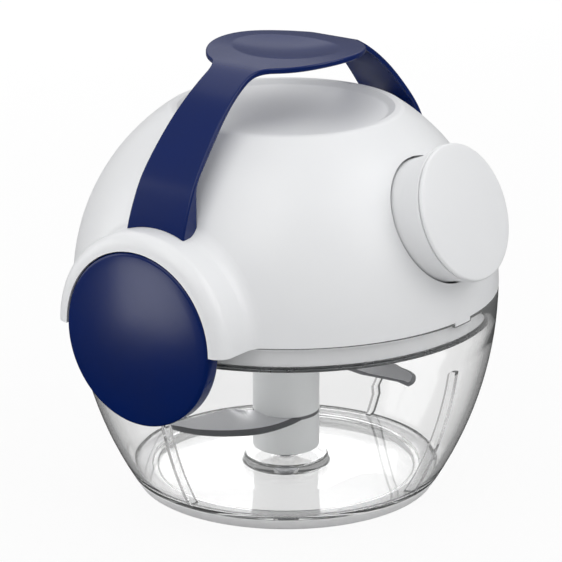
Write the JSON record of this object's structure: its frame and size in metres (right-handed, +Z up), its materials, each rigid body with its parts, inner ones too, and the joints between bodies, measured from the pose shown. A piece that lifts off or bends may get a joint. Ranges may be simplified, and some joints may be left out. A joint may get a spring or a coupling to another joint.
{
  "type": "pull-string food chopper",
  "caption": "Hand chopper: clear bowl with curved blades on a pin, white domed lid with a pull cord knob, dark blue handle and turn locks.",
  "frame": {"origin": "on the bowl's axis, on the table under the foot ring", "axes": "+Z up along the blades' axis; X runs through the two turn locks and the handle's ends; -Y points towards the pull knob"},
  "size_m": [0.169, 0.1592, 0.1583],
  "materials": {
    "clear_plastic": "clear smooth plastic",
    "grey_rubber": "soft matte",
    "steel": "satin",
    "blade_steel": "fine ground",
    "spring_steel": "plain",
    "bush_plastic": "smooth",
    "hub_plastic": "smooth, slightly glossy",
    "white_plastic": "smooth gloss",
    "clear_silicone": "soft, pale",
    "inner_plastic": "moulded, matte",
    "white_cord": "braided",
    "navy_plastic": "smooth gloss"
  },
  "bodies": {
    "bowl": {"bowl": "clear_plastic", "foot_ring": "grey_rubber", "pivot_pin": "steel"},
    "lid": {"lid_shell": "white_plastic", "inner_cover": "white_plastic", "seal_ring": "clear_silicone", "cover_screws": "steel", "cover_bush": "bush_plastic", "spring_case": "inner_plastic", "spring_case_screws": "steel", "rewind_spring": "spring_steel", "reel_cover": "inner_plastic", "top_bush": "bush_plastic", "reel_cover_screws": "steel", "cord_guide": "bush_plastic", "handle": "navy_plastic", "handle_screws": "steel", "lock_screws": "steel", "lock_washers": "steel"},
    "reel": {"drive_shaft": "inner_plastic", "shaft_ring": "steel", "reel": "inner_plastic", "cord_winding": "white_cord"},
    "knob": {"knob_body": "white_plastic", "knob_cap": "white_plastic", "cord_stopper": "steel", "pull_cord": "white_cord"},
    "blade_carrier": {"pivot_bush": "bush_plastic"},
    "blades": {"blade_hub": "hub_plastic", "bush_retaining_ring": "steel", "lower_blade": "blade_steel", "blade_spacer": "hub_plastic", "upper_blade": "blade_steel", "hub_cap": "hub_plastic", "hub_screw": "steel"},
    "left_lock": {"lock_cam_left": "inner_plastic", "lock_cap_left": "navy_plastic"},
    "right_lock": {"lock_cam_right": "inner_plastic", "lock_cap_right": "navy_plastic"}
  },
  "joints": [
    {"name": "lid_lift", "type": "slide", "parent": "bowl", "child": "lid", "axis": [0, 0, 1], "range_m": [0, 0.16]},
    {"name": "knob_pull", "type": "slide", "parent": "lid", "child": "knob", "axis": [0, -0.9294, 0.3691], "range_m": [0, 0.4], "stiffness_N_per_m": 20, "springref_m": -0.15, "deforming": ["pull_cord"]},
    {"name": "reel_spin", "type": "hinge", "parent": "lid", "child": "reel", "pos_m": [0, 0, 0.104], "axis": [0, 0, 1], "range_deg": [0, 1280], "deforming": ["rewind_spring"]},
    {"name": "blade_lift", "type": "slide", "parent": "bowl", "child": "blade_carrier", "axis": [0, 0, 1], "range_m": [0, 0.08]},
    {"name": "blade_spin", "type": "hinge", "parent": "blade_carrier", "child": "blades", "pos_m": [0, 0, 0.03], "axis": [0, 0, 1], "range_deg": [0, 1280]},
    {"name": "left_lock_turn", "type": "hinge", "parent": "lid", "child": "left_lock", "pos_m": [-0.08, 0, 0.0737], "axis": [-1, 0, 0], "range_deg": [0, 90]},
    {"name": "right_lock_turn", "type": "hinge", "parent": "lid", "child": "right_lock", "pos_m": [0.08, 0, 0.0737], "axis": [-1, 0, 0], "range_deg": [0, 90]}
  ],
  "couplings": [
    {"joint": "reel_spin", "follows": "knob_pull", "rad_per_m": 55.556},
    {"joint": "blade_spin", "follows": "knob_pull", "rad_per_m": 55.556},
    {"joint": "blade_lift", "follows": "lid_lift", "ratio": 0.5}
  ]
}
